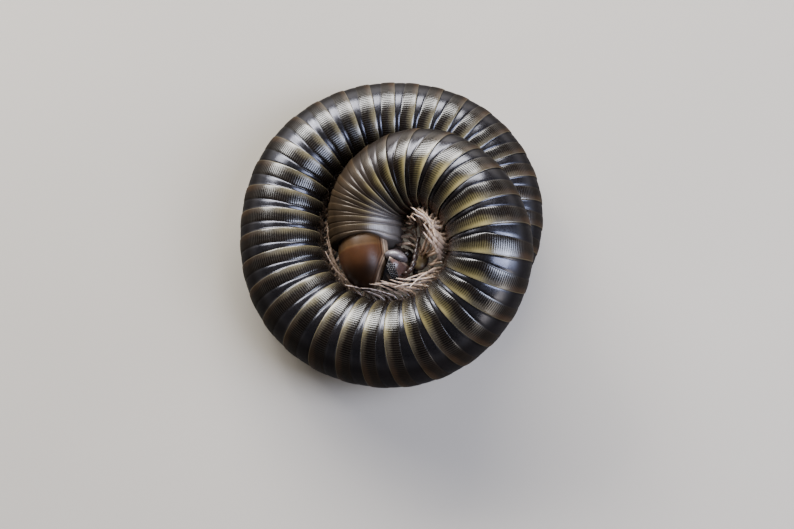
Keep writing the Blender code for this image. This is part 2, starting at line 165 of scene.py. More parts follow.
# By ring, for the upper legs (1) and those facing the floor (-1): how far they reach up the flank,
# how long they are, and how far their tips stand off the belly. The long ones are hidden
LEG_TABLES = {
    1: (
        (
            (2, 0.2), (9, 0.3), (13, 0.8), (15, 1.0), (22, 1.0), (25, 0.8), (28, 0.5), (31, 0.3),
            (38, 0.3), (42, 1.0),
        ),
        ((2, 1.0), (37, 1.0), (40, 1.4), (52, 1.5)),
        (
            (2, 0.5), (6, 0.7), (10, 0.8), (13, 0.7), (16, 0.9), (18, 1.2), (20, 1.05), (23, 0.35),
            (26, 0.22), (31, 0.20), (37, 0.12), (40, 1.6), (52, 2.0),
        ),
    ),
    -1: (
        ((2, 1.0), (52, 1.0)),
        ((2, 1.0), (10, 1.2), (14, 1.5), (20, 1.5), (24, 1.2), (36, 1.5), (52, 1.6)),
        ((2, 0.4), (6, 0.9), (10, 1.3), (16, 2.0), (24, 2.0), (34, 2.2), (52, 2.2)),
    ),
}
# The brush beside the head: upper legs of a few rings that lean headwards
BRUSH_RINGS = (14, 17)
BRUSH_LEAN, BRUSH_SPREAD, BRUSH_THICKNESS = 0.75, 0.82, 1.45
# Legs below the head, in the neck's frame: pairs by their places forward, and one leg's path
FRONT_LEG_PAIRS = (-0.75, -0.35, 0.05, 0.40)
FRONT_LEG_PATH = (
    (0.0, 0.0, -1.45, 0.22), (0.25, 0.10, -1.95, 0.50), (0.55, 0.42, -2.35, 0.62),
    (0.80, 0.80, -2.50, 0.48), (1.0, 1.08, -2.46, 0.28),
)
FRONT_LEG_RADIUS, FRONT_LEG_VARIES = 0.62, 0.04

# Collum, as in the part: places are from the neck's middle
COLLUM_MIDDLE_FORWARD = 0.50
COLLUM_HALF_SIZES = (1.80, 1.20, 1.40)
COLLUM_CORNER = (1.06, -1.06)
COLLUM_MARGIN_SLANT = 62.0
# The collum's colour fades from this far forward, over this length: painted shade, which also darkens its
# lower flank
COLLUM_DIM_FROM, COLLUM_DIM_LENGTH = 2.0, 1.2

# Head: its place and size as in the part, in (forward, back). Pieces on it are in (face, vertex, left)
HEAD_MIDDLE = (1.44, -1.12)
HEAD_FLEXION = 66.0
HEAD_HALF_SIZES = (0.86, 1.00, 1.26)
HEAD_GAP = 0.08
CHEEK_MIDDLE, CHEEK_SIZE = (0.12, -0.31, 0.88), (0.56, 0.36, 0.47)
# Power by which the cheeks narrow towards both ends
CHEEK_POINTEDNESS = 0.35
MOUTH_PLATE_MIDDLE, MOUTH_PLATE_SIZE = (1.16, -0.68, 0.30), (0.38, 0.52, 0.15)
LIP_MIDDLE, LIP_SIZE = (0.52, -0.72, 0.0), (0.26, 0.34, 0.62)
EYE_MIDDLE, EYE_LENGTH, EYE_SLANT = (0.20, 0.46), 0.92, 38.0
OCELLI_ROWS, OCELLUS_RADIUS, OCELLUS_STEP, OCELLI_ROW_STEP = 5, 0.042, 0.088, 0.07656
ANTENNA_PATH = (
    (0.58, 0.33, 0.72), (0.88, 0.24, 0.98), (0.98, -0.18, 1.02), (0.94, -0.70, 0.97),
    (0.88, -1.20, 0.87), (0.84, -1.55, 0.76),
)
ARTICLES, ANTENNA_SIDES, ANTENNA_AHEAD = 7, 16, 0.05
ROOT_RADIUS, CLUB_RADIUS, NOTCH_RADIUS, TIP_RADIUS = 0.09, 0.125, 0.065, 0.026
ANTENNA_SOCKET = ((0.0, 0.17), (0.03, 0.17), (0.05, NOTCH_RADIUS))
# The club is just before the tip. One article: shares of its length and of its swelling
CLUB_UNTIL = 0.95
ARTICLE_ROWS = ((0.06, 0.0), (0.14, 0.5), (0.35, 0.75), (0.6, 0.95), (0.8, 1.0), (0.95, 0.7))

# Telson: a short tube by share of its length and radius, two valves, and a point from its back
TELSON_PROFILE = (
    (0.0, 0.93), (0.10, 0.955), (0.25, 0.965), (0.38, 0.95), (0.46, 0.91), (0.50, 0.85),
    (0.51, 0.70),
)
VALVE_MIDDLE, VALVE_SIZE, VALVE_SLIT = (0.50, 0.37, -0.04), (0.42, 0.41, 0.74), 0.25
POINT_LENGTH, POINT_SPREAD, POINT_ROUNDING = 0.89, 0.55, 0.10
POINT_FROM, POINT_BLEND, POINT_CORE = 0.15, 0.33, 0.5
# Marks by which the ring skin colours the telson: ring, hind band and where it lies, the rest of
# the tube, and the valves with their slit
TELSON_MARK, TELSON_BAND, TELSON_BAND_FROM, TELSON_BAND_TO = 0.99, 0.94, 0.40, 0.505
TUBE_MARK, VALVE_MARK, SLIT_MARK, LEAST_DRAWN = 0.30, 0.45, 0.40, 0.02

# Colours of fine detail
FORE_GLINT, HIND_GLINT, WARM_GLINT = (0.80, 0.82, 1.0), (1.0, 1.0, 1.0), (1.0, 0.80, 0.60)
# On the next line, the two darkest colours are painted shade: under each ring's hind rim and in the striae's
# grooves
LEG_ROOTS, SHADE_BELOW_RIM, GROOVE_SHADE = (0.055, 0.026, 0.016), (0.006, 0.004, 0.003), (0.003, 0.002, 0.002)
# The collum's glow is painted light through its thin margin, and its furrow colour is painted shade
COLLUM_GLOW, COLLUM_FURROW_SHADE = (0.12, 0.055, 0.026), (0.008, 0.004, 0.003)
BEHIND_EYES, BELOW_SEAM = (0.003, 0.003, 0.004), (0.010, 0.006, 0.005)
# The cheeks' lilac-grey is partly their own colour and partly a painted reflection on their gloss
CHEEK_TOP, CHEEK_SIDE, CHEEK_END = (0.012, 0.009, 0.009), (0.05, 0.04, 0.042), (0.015, 0.010, 0.009)
CHEEK_SHADES = ((0.35, 1.0), (0.62, 0.7), (0.80, 0.35))
MOUTH_PLATE, MOUTH_PLATE_EDGE = (0.17, 0.125, 0.055), (0.04, 0.025, 0.015)
ANTENNA, CLAW = (0.030, 0.016, 0.012), (0.05, 0.02, 0.01)
EYE_STOPS = ((0.2, (0.010, 0.009, 0.010)), (0.8, (0.045, 0.040, 0.038)))
# Share of the pale leg colour along a leg: dark at the root, brown at each joint
LEG_SHADES = (
    (0.0, 0.15), (0.12, 0.55), (0.15, 0.35), (0.19, 1.0), (0.37, 1.0), (0.40, 0.35),
    (0.44, 1.0), (0.58, 1.0), (0.60, 0.35), (0.64, 1.0), (0.76, 1.0), (0.79, 0.35),
    (0.83, 1.0), (0.95, 1.0),
)
# Where most values of the skin's tone and grain lie
TONE_RANGE, GRAIN_RANGE = (0.25, 0.75), (0.2, 0.8)

# Camera: the photograph's frame, scale, view and aim
IMAGE_WIDTH = 794
MM_A_PIXEL = 0.046
CAMERA_ELEVATION = 74.5
CAMERA_DISTANCE = 190.0
CAMERA_AIM = (0.254, -1.316, 2.0)
SENSOR = 36.0
CLIP_START, CLIP_END = 0.01, 10.0

# Room, in metres and watts: lights by name, place, size, power and tint
FLOOR_HALF_SIZE = 0.5
ROOM_COLOUR, ROOM_STRENGTH = (0.80, 0.85, 0.92, 1.0), 0.07
LIGHTS = (
    ("far", (-0.012, 0.110, 0.072), (0.110, 0.060), 0.42, (1.0, 0.985, 0.96)),
    ("far left", (-0.073, 0.081, 0.068), (0.060, 0.060), 0.20, (1.0, 0.99, 0.97)),
    ("right", (0.080, -0.024, 0.112), (0.056, 0.100), 0.27, (0.70, 0.77, 1.0)),
    ("low right", (0.118, -0.008, 0.068), (0.045, 0.100), 0.16, (0.68, 0.76, 1.0)),
    ("near right", (0.085, -0.085, 0.040), (0.070, 0.050), 0.07, (1.0, 0.92, 0.82)),
)


def through(stations, at):
    """The smooth curve through the stations, read at values of their first column."""
    table = np.array(stations, float)
    knots = table[:, 0]
    slopes = np.gradient(table, knots, axis=0)
    at = np.atleast_1d(np.asarray(at, float))
    i = np.clip(np.searchsorted(knots, at) - 1, 0, len(knots) - 2)
    span = (knots[i + 1] - knots[i])[:, None]
    t = (at[:, None] - knots[i][:, None]) / span
    return (
        (2 * t**3 - 3 * t**2 + 1) * table[i]
        + (t**3 - 2 * t**2 + t) * span * slopes[i]
        + (3 * t**2 - 2 * t**3) * table[i + 1]
        + (t**3 - t**2) * span * slopes[i + 1]
    )


def lengths_along(points):
    """Distances of points along the line through them."""
    steps = np.linalg.norm(np.diff(points, axis=0), axis=1)
    return np.concatenate([[0.0], np.cumsum(steps)])


class Coil:
    """The body's axis: its places, directions and bend by distance along it."""

    def __init__(self):
        angles = np.linspace(COIL_STATIONS[0][0], COIL_STATIONS[-1][0], COIL_SAMPLES)
        _, radius, height = through(COIL_STATIONS, angles).T
        turn = np.radians(angles)
        x = COIL_CENTRE[0] + radius * np.cos(turn)
        y = COIL_CENTRE[1] - radius * np.sin(turn)
        self.places = np.stack([x, y, height], axis=1)
        self.lengths = lengths_along(self.places)
        ways = np.gradient(self.places, self.lengths, axis=0)
        self.ways = ways / np.linalg.norm(ways, axis=1)[:, None]
        backs = np.stack([-self.ways[:, 1], self.ways[:, 0], 0.0 * x], axis=1)
        self.backs = backs / np.linalg.norm(backs, axis=1)[:, None]
        self.lefts = np.cross(self.ways, self.backs)
        turning = -np.sum(np.gradient(self.ways, self.lengths, axis=0) * self.backs, axis=1)
        window = int(BEND_SMOOTHING / self.lengths[-1] * COIL_SAMPLES)
        padded = np.pad(turning, window, mode="edge")
        weights = np.ones(2 * window + 1) / (2 * window + 1)
        self.bends = np.convolve(padded, weights, mode="valid")

    def read(self, column, along):
        """A column of the axis at distances along it."""
        if column.ndim == 1:
            return np.interp(along, self.lengths, column)
        return np.stack([np.interp(along, self.lengths, part) for part in column.T], axis=-1)

    def on_body(self, along, back, left):
        """Places given by distances along the body and offsets from the axis."""
        past = np.maximum(0.0, along - self.lengths[-1])[..., None]
        middle = self.read(self.places, along) + past * self.read(self.ways, along)
        back_way = np.asarray(back)[..., None] * self.read(self.backs, along)
        return middle + back_way + np.asarray(left)[..., None] * self.read(self.lefts, along)


coil = Coil()


def ring_front(ring):
    """Where a ring starts along the axis."""
    return float(through(RING_STATIONS, ring)[0, 1])


def body_radius(along):
    """Radius of the tube at distances along it."""
    along = np.atleast_1d(np.asarray(along, float))
    radius = through(TUBE_STATIONS, along)[:, 1]
    tail_from = ring_front(TELSON_RING) + TELSON_LENGTH - TAIL_TAPER_LENGTH
    tail = np.clip((along - tail_from) / TAIL_TAPER_LENGTH, 0.0, 1.0)
    return radius * (1.0 - TAIL_TAPER * tail**TAIL_TAPER_POWER)


def smoothstep(value):
    """Rises from 0 to 1 as value does, level at both ends."""
    value = np.clip(value, 0.0, 1.0)
    return value * value * (3.0 - 2.0 * value)


def section(along, turn, offset):
    """Back and left offsets of the skin: turn is the angle from the back, offset lifts the skin."""
    radius = body_radius(along) + offset
    back, left = radius * np.cos(turn), radius * np.sin(turn)
    belly = -BELLY_FLAT_FROM * radius
    back = np.where(back < belly, belly + (back - belly) * BELLY_FLATNESS, back)
    hang = 1.0 + FLANGE_DEPTH * np.clip(1.0 - (along - ring_front(FIRST_RING)) / FLANGE_UNTIL, 0.0, 1.0)
    return np.where(back < 0.0, back * hang, back), left


def face_outwards(bm):
    """Turns the faces of closed surfaces outwards."""
    bmesh.ops.recalc_face_normals(bm, faces=bm.faces)
    if bm.calc_volume(signed=True) < 0.0:
        bmesh.ops.reverse_faces(bm, faces=bm.faces)


def turned(profile, sides):
    """A closed turned shape round +X from (along, radius) points, its end poles closed."""
    bm = bmesh.new()
    ends = [(profile[0][0], 0.0), *profile, (profile[-1][0], 0.0)]
    verts = [bm.verts.new((along, 0.0, radius)) for along, radius in ends]
    edges = [bm.edges.new(pair) for pair in zip(verts, verts[1:])]
    full = 2 * math.pi
    middle, axis = (0.0, 0.0, 0.0), (1.0, 0.0, 0.0)
    bmesh.ops.spin(bm, geom=verts + edges, cent=middle, axis=axis, angle=full, steps=sides, use_merge=True)
    bmesh.ops.remove_doubles(bm, verts=bm.verts, dist=WELD)
    face_outwards(bm)
    return bm


def ball(size, segments, bands):
    """An ellipsoid about the origin with the given half sizes."""
    bm = bmesh.new()
    bmesh.ops.create_uvsphere(bm, u_segments=segments, v_segments=bands, radius=1.0)
    bmesh.ops.scale(bm, vec=size, verts=bm.verts)
    return bm


def put(bm, matrix):
    """Moves a closed surface by a matrix, which may mirror it."""
    bmesh.ops.transform(bm, matrix=matrix, verts=bm.verts)
    face_outwards(bm)


def cut_away(bm, point, outwards):
    """Removes what lies beyond a plane and closes the cut."""
    geom = bm.verts[:] + bm.edges[:] + bm.faces[:]
    bmesh.ops.bisect_plane(bm, geom=geom, plane_co=point, plane_no=outwards, clear_outer=True)
    rim = [edge for edge in bm.edges if edge.is_boundary]
    bmesh.ops.holes_fill(bm, edges=rim, sides=0)


def to_mesh(name, bm):
    """A mesh from a bmesh, which is freed."""
    mesh = bpy.data.meshes.new(name)
    bm.to_mesh(mesh)
    bm.free()
    return mesh


def add_to(bm, other):
    """Adds a bmesh's faces to another, and frees it."""
    mesh = to_mesh("joined", other)
    bm.from_mesh(mesh)
    bpy.data.meshes.remove(mesh)


def coordinates(mesh):
    """A mesh's vertex coordinates as an array."""
    flat = np.empty(3 * len(mesh.vertices), np.float64)
    mesh.vertices.foreach_get("co", flat)
    return flat.reshape(-1, 3)


def add_object(name, data):
    """An object of the scene, at the origin."""
    thing = bpy.data.objects.new(name, data)
    bpy.context.scene.collection.objects.link(thing)
    return thing


def aim(thing, place, way):
    """Puts a light or camera at a place and points it a way."""
    thing.location = place
    thing.rotation_euler = way.to_track_quat("-Z", "Y").to_euler()


def finish(name, mesh, material, replaced=(), marks=None):
    """Makes a piece of a mesh in millimetres: kept off the floor, scaled, shaded and riding."""
    if isinstance(mesh, bmesh.types.BMesh):
        mesh = to_mesh(name, mesh)
    places = coordinates(mesh)
    places[:, 2] = np.maximum(places[:, 2], 0.0)
    mesh.vertices.foreach_set("co", (places * MM).ravel())
    mesh.update()
    mesh.materials.append(material)
    mesh.shade_smooth()
    if marks is not None:
        layer = mesh.attributes.new("place", "FLOAT_VECTOR", "POINT")
        layer.data.foreach_set("vector", np.asarray(marks, np.float32).ravel())
    thing = add_object(name, mesh)
    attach(thing, "root")
    if replaced:
        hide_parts(*replaced)


def scaled(colour, factor):
    """A colour made darker or brighter."""
    return tuple(factor * part for part in colour)


def add_node(tree, kind, inputs=None, **settings):
    """A node with its settings, its inputs linked or given values."""
    made = tree.nodes.new(kind)
    for key, value in settings.items():
        setattr(made, key, value)
    for key, value in (inputs or {}).items():
        if isinstance(value, bpy.types.NodeSocket):
            tree.links.new(value, made.inputs[key])
        else:
            made.inputs[key].default_value = value
    return made


def skin_group():
    """Shader group: uneven tone and fine grain of a horny skin."""
    group = bpy.data.node_groups.get("Horny skin")
    if group:
        return group
    group = bpy.data.node_groups.new("Horny skin", "ShaderNodeTree")
    group.interface.new_socket("Scale", in_out="INPUT", socket_type="NodeSocketFloat").default_value = 1.0
    place = add_node(group, "ShaderNodeTexCoord").outputs["Object"]
    source, sink = add_node(group, "NodeGroupInput"), add_node(group, "NodeGroupOutput")
    for name, waves, detail in (("Tone", 900.0, 4.0), ("Grain", 9000.0, 3.0)):
        group.interface.new_socket(name, in_out="OUTPUT", socket_type="NodeSocketFloat")
        inputs = {0: source.outputs["Scale"], 1: waves}
        scale = add_node(group, "ShaderNodeMath", inputs, operation="MULTIPLY").outputs[0]
        noise = add_node(group, "ShaderNodeTexNoise", {"Vector": place, "Scale": scale, "Detail": detail})
        group.links.new(noise.outputs["Fac"], sink.inputs[name])
    return group


class Look:
    """A material in the making: its tree, its shader and the tone and grain of its skin."""

    def __init__(self, name, skin_scale=1.0, **values):
        self.material = bpy.data.materials.new(name)
        self.material.use_nodes = True
        self.tree = self.material.node_tree
        self.shader = self.tree.nodes["Principled BSDF"]
        for key, value in values.items():
            title = key.replace("_", " ").title().replace("Ior", "IOR")
            self.shader.inputs[title].default_value = value
        skin = self.node("ShaderNodeGroup", node_tree=skin_group())
        skin.inputs["Scale"].default_value = skin_scale
        self.tone, self.grain = skin.outputs["Tone"], skin.outputs["Grain"]

    def node(self, kind, inputs=None, **settings):
        """A node of this material."""
        return add_node(self.tree, kind, inputs, **settings)

    def marks(self):
        """The three marks that a mesh carries."""
        place = self.node("ShaderNodeAttribute", attribute_name="place").outputs["Vector"]
        return self.node("ShaderNodeSeparateXYZ", {0: place}).outputs

    def calculate(self, operation, first, *others):
        """Math nodes in a row, each working on the last one's result."""
        for other in others:
            first = self.node("ShaderNodeMath", {0: first, 1: other}, operation=operation).outputs[0]
        return first

    def product(self, *factors):
        """Values multiplied."""
        return self.calculate("MULTIPLY", *factors)

    def total(self, *terms):
        """Values added."""
        return self.calculate("ADD", *terms)

    def level(self, factor, low, high, to_low=0.0, to_high=1.0):
        """A value mapped smoothly from one range to another."""
        inputs = {"Value": factor, "From Min": low, "From Max": high, "To Min": to_low, "To Max": to_high}
        made = self.node("ShaderNodeMapRange", inputs, interpolation_type="SMOOTHSTEP")
        return made.outputs["Result"]

    def between(self, mask, off, on):
        """One value where a mask is 0 and another where it is 1."""
        return self.level(mask, 0.0, 1.0, off, on)

    def uneven(self, amount):
        """A value that wanders this far to both sides of zero with the skin's tone."""
        return self.level(self.tone, *TONE_RANGE, -amount, amount)

    def grained(self, low, high):
        """A value that goes from low to high with the skin's grain."""
        return self.level(self.grain, *GRAIN_RANGE, low, high)

    def blend(self, factor, first, second, mode="MIX"):
        """One colour mixed into another."""
        made = self.node("ShaderNodeMix", data_type="RGBA", blend_type=mode)
        for index, value in ((0, factor), (6, first), (7, second)):
            if isinstance(value, bpy.types.NodeSocket):
                self.tree.links.new(value, made.inputs[index])
            else:
                made.inputs[index].default_value = (*value, 1.0) if index else value
        return made.outputs[2]

    def layered(self, tint, *layers):
        """A colour with others laid over it in order, each by its mask."""
        for mask, over in layers:
            tint = self.blend(mask, tint, over)
        return tint

    def toned(self, tint, low, high):
        """A colour made darker and brighter by the skin's tone."""
        tone = self.level(self.tone, *TONE_RANGE, low, high)
        grey = self.node("ShaderNodeCombineXYZ", {0: tone, 1: tone, 2: tone}).outputs[0]
        return self.blend(1.0, tint, grey, "MULTIPLY")

    def ramp(self, factor, stops):
        """The colour that a ramp gives for a factor, from stops of position and colour."""
        made = self.node("ShaderNodeValToRGB", {"Fac": factor})
        elements = made.color_ramp.elements
        while len(elements) > 1:
            elements.remove(elements[-1])
        elements[0].position = stops[0][0]
        elements[0].color = (*stops[0][1], 1.0)
        for position, tint in stops[1:]:
            elements.new(position).color = (*tint, 1.0)
        return made.outputs["Color"]

    def feed(self, name, value):
        """Links a value to an input of the shader."""
        self.tree.links.new(value, self.shader.inputs[name])

    def wear(self, tint, roughness, strength, depth):
        """Gives the shader its colour and roughness, and the skin's grain as a bump."""
        self.feed("Base Color", tint)
        self.feed("Roughness", roughness)
        inputs = {"Height": self.grain, "Strength": strength, "Distance": depth * MM}
        self.feed("Normal", self.node("ShaderNodeBump", inputs).outputs["Normal"])
        return self.material


def length(name, description, millimetres):
    """A length property."""
    units = {"unit": "LENGTH", "subtype": "DISTANCE", "precision": 6}
    return FloatProperty(name=name, description=description, default=millimetres * MM, min=0.0, **units)


def colour(name, description, default):
    """A colour property."""
    return FloatVectorProperty(
        name=name, description=description, default=default, size=3, min=0.0, max=1.0, subtype="COLOR"
    )


class MillipedeShape(bpy.types.PropertyGroup):
    """Sizes of the animal's fine detail."""

    stria_count: IntProperty(
        name="Striae", description="Fine grooves round each ring's hind part", default=118, min=24, max=240
    )
    stria_depth: length("Stria depth", "Depth of the fine grooves", 0.005)
    leg_length: length("Leg length", "Length of a full-grown leg", 1.65)
    leg_thickness: length("Leg thickness", "Thickness of a leg at its root", 0.15)


class MillipedeColours(bpy.types.PropertyGroup):
    """Colours of the animal and its floor."""

    fore_part: colour("Fore part", "Smooth front part of each ring", (0.005, 0.004, 0.004))
    hind_part: colour("Hind part", "Striated hind part of each ring", (0.008, 0.0055, 0.0035))
    band: colour("Hind band", "Pale band along each ring's hind margin", (0.055, 0.046, 0.030))
    # The rim colour is partly the hind margin's own pale edge and partly a painted highlight along it
    rim: colour("Rim", "Bright edge of the hind band", (0.16, 0.135, 0.075))
    # The flank band's gold is partly its own colour and partly a painted highlight, brighter towards the
    # hind edge
    gold_and_painted_light: colour("Flank band", "Hind band where it crosses the flank", (0.150, 0.122, 0.048))
    # The lobes' light grey is partly their own colour and partly painted sheen
    lobe_and_sheen: colour("Lobes", "Side lobes of the rings behind the head", (0.290, 0.262, 0.245))
    back_tint: colour("Back tint", "Tint of the bands along the back", (0.022, 0.013, 0.007))
    # The belly colour is darker partly as painted shade, where the belly turns away from the lamps
    belly: colour("Belly", "Tint of the rings near the legs", (0.024, 0.019, 0.013))
    front_tint: colour("Front tint", "Tint of the rings behind the head", (0.031, 0.020, 0.011))
    collum: colour("Collum", "Plate behind the head", (0.062, 0.024, 0.009))
    hind_margin: colour("Hind margin", "Golden-brown hind margin of the collum", (0.060, 0.033, 0.013))
    margin: colour("Margin", "Pale margin of the collum", (0.52, 0.38, 0.26))
    leg: colour("Legs", "Legs and mouthparts", (0.52, 0.375, 0.275))
    head: colour("Head", "Face", (0.085, 0.048, 0.038))
    # Lilac-grey, partly the cheeks' own colour and partly a painted reflection
    cheek: colour("Cheeks", "Cheek plates", (0.19, 0.165, 0.175))
    floor: colour("Floor", "Plain floor", (0.38, 0.345, 0.295))


class MillipedeSettings(bpy.types.PropertyGroup):
    """All settings of the model."""

    shape: PointerProperty(type=MillipedeShape)
    colours: PointerProperty(type=MillipedeColours)


def profile_rows(first, last):
    """Rows of a run of rings, which starts tucked under the ring in front."""
    start = START_FIRST if first == FIRST_RING else START_UNDER
    rows = [(first, "fore", start, TUCKED_OFFSET - START_SINK, 0.0)]
    for ring in range(first, last + 1):
        rows += [(ring, *row) for row in RING_ROWS]
    return rows


def rows_along(rings, kinds, shares, turn):
    """Distances along the axis of profile rows at angles from the back."""
    front = through(RING_STATIONS, rings)[:, 1]
    hind = through(RING_STATIONS, rings + 1.0)[:, 1]
    pitch = hind - front
    middle = 0.5 * (front + hind)
    stretch = 1.0 + coil.read(coil.bends, middle) * body_radius(middle) * np.cos(turn)
    full = np.minimum(HIND_SHARE * pitch / np.maximum(stretch, LEAST_STRETCH), HIND_MOST * pitch)
    along = hind - (1.0 - shares) * full
    along = np.where(kinds == "fore", front + shares * (pitch - full), along)
    return np.where(kinds == "tuck", hind - TUCK * pitch, along)


def sleeve(row_count, sides):
    """A straight sleeve of unit radius with a row of vertices at each whole number along +X."""
    bm = turned([(float(i), 1.0) for i in range(row_count)], sides)
    bmesh.ops.reverse_faces(bm, faces=bm.faces)
    return to_mesh("sleeve", bm)


def shell(first, last, straight, shape):
    """A run of rings: the sleeve laid on the body, with the place of each vertex on its ring."""
    mesh = straight.copy()
    places = coordinates(mesh)
    index = np.rint(places[:, 0]).astype(int)
    columns = zip(*profile_rows(first, last))
    rings, kinds, shares, offset, groove = (np.array(column)[index] for column in columns)
    pole = np.hypot(places[:, 1], places[:, 2]) < 0.5
    turn = np.arctan2(places[:, 1], places[:, 2])
    side = np.abs(turn) / math.pi
    low = smoothstep((side - BELLY_FROM) / BELLY_BLEND)
    along = rows_along(rings, kinds, shares, np.where(pole, 0.5 * math.pi, turn))
    if first == FIRST_RING:
        front = ring_front(first)
        pitch = ring_front(first + 1) - front
        along = along - LOBE_FORWARD * low * np.clip(1.0 - (along - front) / pitch, 0.0, 1.0)
    step = np.rint(turn / (2 * math.pi) * len(STRIA_SHAPE) * shape.stria_count).astype(int)
    depth = np.array(STRIA_SHAPE)[step % len(STRIA_SHAPE)]
    offset = offset - groove * depth * shape.stria_depth / MM
    offset = np.where(offset < 0.0, offset * (1.0 + (BELLY_VALLEYS - 1.0) * low), offset)
    back, left = section(along, turn, offset)
    places = coil.on_body(along, np.where(pole, 0.0, back), np.where(pole, 0.0, left))
    mesh.vertices.foreach_set("co", places.ravel())
    mesh.update()
    on_ring = np.where(kinds == "hind", 0.5 + 0.5 * shares, 0.5 * shares)
    on_ring = np.where(kinds == "tuck", 1.0, on_ring)
    return mesh, np.stack([on_ring, side, rings / TELSON_RING], axis=1)


def ring_skin(colours, shape):
    """Horny, glossy rings: black-brown, finely grooved, and browner towards the head.

    Their pale hind bands are golden on the flank and dark along the back. The gold is partly painted
    light, brightest on the rings up to about the 23rd, and the rims carry painted highlights. Painted shade
    darkens the belly, the grooves and the skin under each rim; the front rings' side lobes are lighter
    partly as painted sheen.
    """
    look = Look("Ring skin", ior=1.6, coat_roughness=0.18)
    level, product, between, blend = look.level, look.product, look.between, look.blend
    on_ring, side, ring = look.marks()
    back = level(side, 0.46, 0.24)
    belly = level(side, 0.52, 0.80)
    flank = level(side, 0.16, 0.38)
    front = level(ring, 0.24, 0.06)
    hind = level(on_ring, 0.48, 0.53)
    warm = product(front, level(side, 0.62, 0.48))
    look.feed("Specular Tint", blend(warm, blend(hind, FORE_GLINT, HIND_GLINT), WARM_GLINT))
    # Painted light: the gold is strongest on the flank of the rings up to about the 23rd, which lie in the
    # light
    golden = product(level(side, 0.42, 0.56), level(side, 0.84, 0.70), level(ring, 0.54, 0.44, 0.30, 1.0))
    gold_and_painted_light = blend(level(on_ring, 0.80, 0.97), scaled(colours.gold_and_painted_light, 0.45), scaled(colours.gold_and_painted_light, 1.5))
    band = look.layered(
        blend(golden, colours.band, gold_and_painted_light),
        (back, colours.back_tint),
        # The band takes the belly colour there, partly painted shade
        (product(belly, 0.6), colours.belly),
    )
    widened = look.total(on_ring, look.uneven(0.03), product(golden, 0.08))
    # Side lobes of the front rings, lighter grey partly as painted sheen
    lobe_and_sheen = product(level(ring, 0.17, 0.05), level(side, 0.50, 0.72, 0.0, 0.85))
    # Pale edge and painted highlight along each ring's hind margin, strongest on the flank and weaker on the
    # front rings
    rim = product(level(on_ring, 0.962, 0.976), between(front, 1.0, 0.4), level(side, 0.24, 0.45, 0.2, 0.8))
    across = look.calculate("PINGPONG", product(side, 0.5 * shape.stria_count), 0.5)
    reach = product(level(on_ring, 0.51, 0.54), level(on_ring, 0.96, 0.80), level(front, 0.1, 0.7, 1.0, 0.0))
    groove = product(level(across, 0.30, 0.12), reach)
    tint = look.layered(
        blend(hind, colours.fore_part, colours.hind_part),
        (level(widened, 0.74, 0.88), band),
        # Painted shade, partly: darker on the belly side of each ring's hind part
        (product(belly, level(on_ring, 0.62, 0.80, 0.0, 0.6)), colours.belly),
        (product(front, 0.75), colours.front_tint),
        (lobe_and_sheen, colours.lobe_and_sheen),
        (level(side, 0.80, 0.95, 0.0, 0.8), LEG_ROOTS),
        (rim, colours.rim),
        # Painted shade under each ring's hind rim, where it tucks under the next ring
        (level(on_ring, 0.990, 0.997), SHADE_BELOW_RIM),
        # Painted shade in the stria grooves
        (product(groove, 0.8), GROOVE_SHADE),
    )
    dull = product(level(ring, 0.34, 0.26), level(side, 0.43, 0.56), level(ring, 0.09, 0.14))
    gloss = product(flank, between(groove, 1.0, 0.08), between(warm, 1.0, 0.55), between(dull, 1.0, 0.28))
    look.feed("Specular IOR Level", between(gloss, 0.03, 0.5))
    look.feed("Coat Weight", product(gloss, between(hind, 0.15, 0.4)))
    roughness = look.total(between(flank, 0.57, 0.27), between(front, 0.0, 0.16), look.grained(-0.05, 0.05))
    return look.wear(look.toned(tint, 0.65, 1.35), roughness, 0.25, 0.004)


def collum_skin(colours):
    """Dark brown, with a pale furrowed front margin and a golden-brown hind margin. Painted shade darkens
    its lower flank, its front end and its furrows; the pale margin and a painted glow are strongest on top.
    """
    look = Look("Collum skin", ior=1.45, specular_ior_level=0.22)
    level, product, blend = look.level, look.product, look.blend
    from_margin, from_hind, high = look.marks()
    uneven = look.uneven(0.05)
    edge = look.total(from_margin, uneven)
    hind = look.total(from_hind, uneven)
    seam = product(level(hind, 0.42, 0.50), level(hind, 0.60, 0.52), level(high, 0.05, 0.6, 0.1, 0.3))
    # Painted shade in fine furrows along the front margin
    furrow_shade = level(look.calculate("PINGPONG", from_margin, 0.055), 0.010, 0.028, 0.7, 0.0)
    furrow_shade = product(furrow_shade, level(from_margin, 0.50, 0.36), level(from_margin, 0.08, 0.12))
    tint = look.layered(
        # Painted shade: darker where the third mark is low, on the lower flank and towards the front
        blend(level(high, 0.1, 1.0), scaled(colours.collum, 0.22), colours.collum),
        (level(hind, 0.58, 0.42, 0.0, 0.8), colours.hind_margin),
        (seam, scaled(colours.hind_margin, 2.2)),
        # A painted glow of light through the thin margin, then the pale margin, both strongest on top
        (product(level(edge, 0.60, 0.10), level(high, 0.1, 0.7, 0.2, 0.8)), COLLUM_GLOW),
        (product(level(edge, 0.30, 0.18), level(high, 0.25, 0.75, 0.3, 1.0)), colours.margin),
        (furrow_shade, COLLUM_FURROW_SHADE),
    )
    return look.wear(look.toned(tint, 0.75, 1.25), look.grained(0.34, 0.46), 0.3, 0.004)


